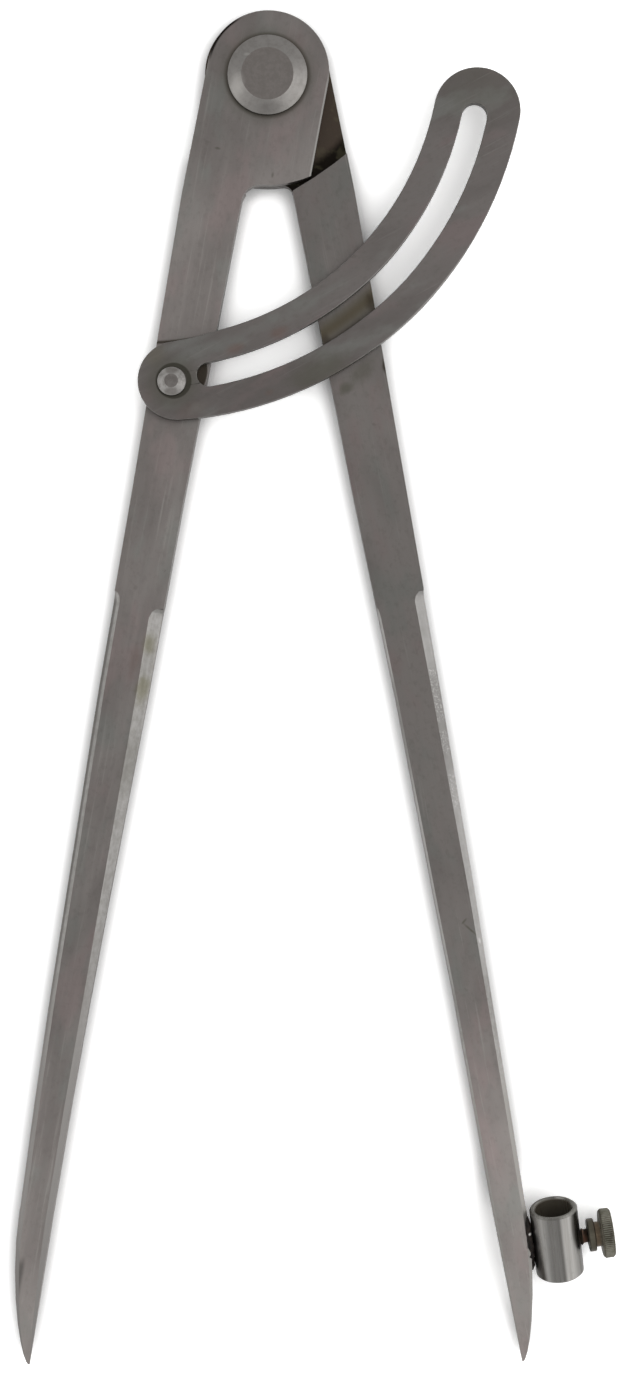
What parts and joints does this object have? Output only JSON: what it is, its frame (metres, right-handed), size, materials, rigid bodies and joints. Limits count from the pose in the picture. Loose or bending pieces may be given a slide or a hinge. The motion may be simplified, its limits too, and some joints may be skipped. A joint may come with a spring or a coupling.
{
  "type": "wing divider",
  "caption": "Flat steel wing divider with a half-lapped riveted head, a slotted arc wing pivoted on one leg, and a small pencil tube with a knurled thumbscrew on the other.",
  "frame": {"origin": "centre of the pivot rivet's peened end, on the back of the tool", "axes": "+Z out of the front face, along the pivot rivet; +Y up the tool from the points to the hinge head; +X towards the leg with the pencil tube"},
  "size_m": [0.1313, 0.296, 0.0148],
  "materials": {
    "leg_steel": "bare steel, ground lengthwise, darkened and faintly stained with age",
    "wing_steel": "bare steel, a little darker than the legs",
    "turned_steel": "turned steel, bright on its chamfers",
    "tube_steel": "drawn steel tube, lengthwise streaks",
    "oiled_steel": "dark oiled steel, straight knurled rim",
    "braze": "dark, scaly braze"
  },
  "bodies": {
    "left": {"left_leg": "leg_steel", "pivot_rivet": "turned_steel", "pivot_washer": "turned_steel", "wing_rivet": "turned_steel"},
    "right": {"right_leg": "leg_steel", "pencil_socket": "tube_steel", "socket_braze": "braze"},
    "wing": {"wing": "wing_steel"},
    "screw": {"socket_screw": "oiled_steel"},
    "knob": {"socket_screw_knob": "oiled_steel"}
  },
  "joints": [
    {"name": "legs_open", "type": "hinge", "parent": "left", "child": "right", "pos_m": [0, 0, 0], "axis": [0, 0, 1], "range_deg": [-21.5, 68]},
    {"name": "wing_swing", "type": "hinge", "parent": "left", "child": "wing", "pos_m": [-0.02074, -0.06705, 0], "axis": [0, 0, 1], "range_deg": [-295, 22]},
    {"name": "screw_feed", "type": "slide", "parent": "right", "child": "screw", "axis": [0.9912, 0.1326, 0], "range_m": [-0.0012, 0.003]},
    {"name": "screw_turn", "type": "hinge", "parent": "screw", "child": "knob", "pos_m": [0.06328, -0.25435, 0.00505], "axis": [0.9912, 0.1326, 0], "range_deg": [-620, 1550]}
  ],
  "couplings": [
    {"joint": "screw_turn", "follows": "screw_feed", "rad_per_m": 8976}
  ]
}
